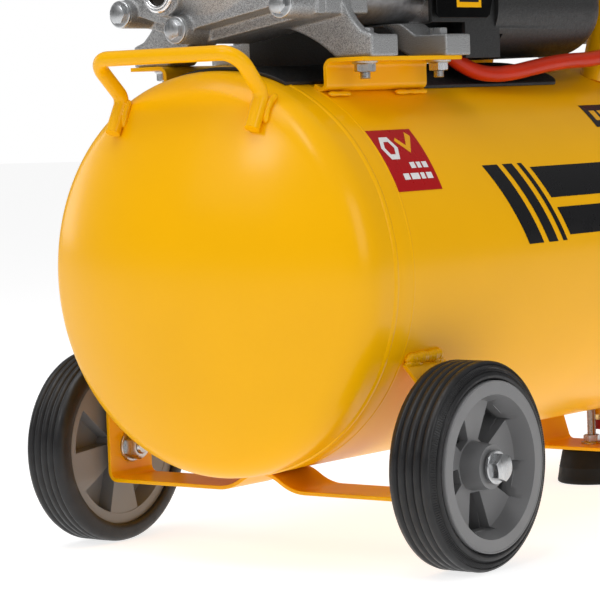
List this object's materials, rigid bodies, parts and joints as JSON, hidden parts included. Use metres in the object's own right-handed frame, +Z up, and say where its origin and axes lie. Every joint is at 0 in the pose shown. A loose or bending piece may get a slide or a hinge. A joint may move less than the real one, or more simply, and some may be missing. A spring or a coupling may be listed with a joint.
{
  "type": "air compressor",
  "caption": "Portable oil-lubricated direct-drive air compressor on a wheeled horizontal tank, with finned pump, motor, pressure switch and gauges.",
  "frame": {"origin": "on the floor, under the middle of the whole machine's box", "axes": "+Z up, +Y along the tank from the wheels towards the foot and the gauges, +X to the right when looking along +Y"},
  "size_m": [0.4112, 0.744, 0.656],
  "materials": {
    "yellow_paint": "gloss",
    "soft_rubber": "matt",
    "tyre_rubber": "satin",
    "hub_grey": "satin",
    "zinc_steel": "bright",
    "brass_fittings": "satin",
    "red_plastic": "gloss",
    "cast_aluminium": "as cast",
    "sight_glass": "turned",
    "cylinder_iron": "painted",
    "lamination_steel": "stacked sheet",
    "copper_winding": "varnished",
    "black_plastic": "fine texture",
    "orange_cable": "smooth",
    "pipe_aluminium": "drawn",
    "gauge_case": "gloss",
    "needle": "matt"
  },
  "bodies": {
    "root": {"tank_shell": "yellow_paint", "tank_heads": "yellow_paint", "tank_sockets": "yellow_paint", "rear_handle": "yellow_paint", "wheel_bracket": "yellow_paint", "foot_bracket": "yellow_paint", "pump_rails": "yellow_paint", "front_handle": "yellow_paint", "front_foot": "soft_rubber", "handle_grip": "soft_rubber", "axle_bolts": "zinc_steel", "axle_nuts_washers": "zinc_steel", "cover_bolts": "zinc_steel", "head_bolts": "zinc_steel", "motor_tie_bolts": "zinc_steel", "base_bolts": "zinc_steel", "flange_nuts": "zinc_steel", "ball_bearings": "zinc_steel", "valve_plate": "zinc_steel", "drain_valve": "brass_fittings", "check_valve": "brass_fittings", "safety_valve": "brass_fittings", "quick_coupler": "brass_fittings", "crankcase": "cast_aluminium", "crankcase_cover": "cast_aluminium", "cylinder_head": "cast_aluminium", "motor_end_bracket": "cast_aluminium", "switch_base": "cast_aluminium", "regulator": "cast_aluminium", "oil_sight_glass": "sight_glass", "cylinder": "cylinder_iron", "stator_core": "lamination_steel", "stator_windings": "copper_winding", "fan_shroud": "black_plastic", "duct_tray": "black_plastic", "air_filter": "black_plastic", "cable_glands": "black_plastic", "switch_cover": "black_plastic", "run_capacitor": "black_plastic", "motor_cable": "orange_cable", "air_pipes": "pipe_aluminium", "gauge_cases": "gauge_case"},
    "wheel_right": {"wheel_hub_right": "hub_grey", "tyre_right": "tyre_rubber"},
    "wheel_left": {"wheel_hub_left": "hub_grey", "tyre_left": "tyre_rubber"},
    "crank_train": {"crankshaft": "zinc_steel", "rotor_core": "cast_aluminium", "cooling_fan": "black_plastic"},
    "piston": {"piston": "cast_aluminium", "wrist_pin": "zinc_steel"},
    "connecting_rod": {"connecting_rod": "cast_aluminium"},
    "switch_button": {"switch_button": "red_plastic"},
    "regulator_knob": {"regulator_knob": "black_plastic"},
    "drain_knob": {"drain_knob": "red_plastic"},
    "coupler_sleeve": {"coupler_sleeve": "zinc_steel"},
    "safety_ring": {"safety_ring": "zinc_steel"},
    "outlet_needle": {"outlet_needle": "needle"},
    "tank_needle": {"tank_needle": "needle"},
    "oil_dipstick": {"oil_dipstick": "black_plastic"}
  },
  "joints": [
    {"name": "wheel_right_spin", "type": "hinge", "parent": "root", "child": "wheel_right", "pos_m": [0.175, -0.249, 0.076], "axis": [1, 0, 0], "continuous": true},
    {"name": "wheel_left_spin", "type": "hinge", "parent": "root", "child": "wheel_left", "pos_m": [-0.175, -0.249, 0.076], "axis": [1, 0, 0], "continuous": true},
    {"name": "crank_spin", "type": "hinge", "parent": "root", "child": "crank_train", "pos_m": [0, -0.177, 0.468], "axis": [0, 1, 0], "continuous": true},
    {"name": "piston_slide", "type": "slide", "parent": "root", "child": "piston", "axis": [0, 0, 1], "range_m": [-0.046, 0]},
    {"name": "rod_swing", "type": "hinge", "parent": "piston", "child": "connecting_rod", "pos_m": [0, -0.277, 0.586], "axis": [0, 1, 0], "range_deg": [-12, 12]},
    {"name": "switch_slide", "type": "slide", "parent": "root", "child": "switch_button", "axis": [0, 0, 1], "range_m": [0, 0.008]},
    {"name": "regulator_turn", "type": "hinge", "parent": "root", "child": "regulator_knob", "pos_m": [0, 0.277, 0.43], "axis": [0, 0, 1], "range_deg": [0, 1080]},
    {"name": "drain_turn", "type": "hinge", "parent": "root", "child": "drain_knob", "pos_m": [0, 0.21, 0.05], "axis": [0, 0, 1], "range_deg": [0, 720]},
    {"name": "coupler_slide", "type": "slide", "parent": "root", "child": "coupler_sleeve", "axis": [-1, 0, 0], "range_m": [0, 0.0045], "stiffness_N_per_m": 800},
    {"name": "safety_pull", "type": "slide", "parent": "root", "child": "safety_ring", "axis": [1, 0, 0], "range_m": [0, 0.004], "stiffness_N_per_m": 2000},
    {"name": "outlet_reading", "type": "hinge", "parent": "root", "child": "outlet_needle", "pos_m": [0, 0.314, 0.398], "axis": [0, -1, 0], "range_deg": [0, 270], "stiffness_Nm_per_rad": 0.0005},
    {"name": "tank_reading", "type": "hinge", "parent": "root", "child": "tank_needle", "pos_m": [-0.0495, 0.225, 0.398], "axis": [1, 0, 0], "range_deg": [0, 270], "stiffness_Nm_per_rad": 0.0005},
    {"name": "dipstick_pull", "type": "slide", "parent": "root", "child": "oil_dipstick", "axis": [0, 0, 1], "range_m": [0, 0.11]}
  ]
}
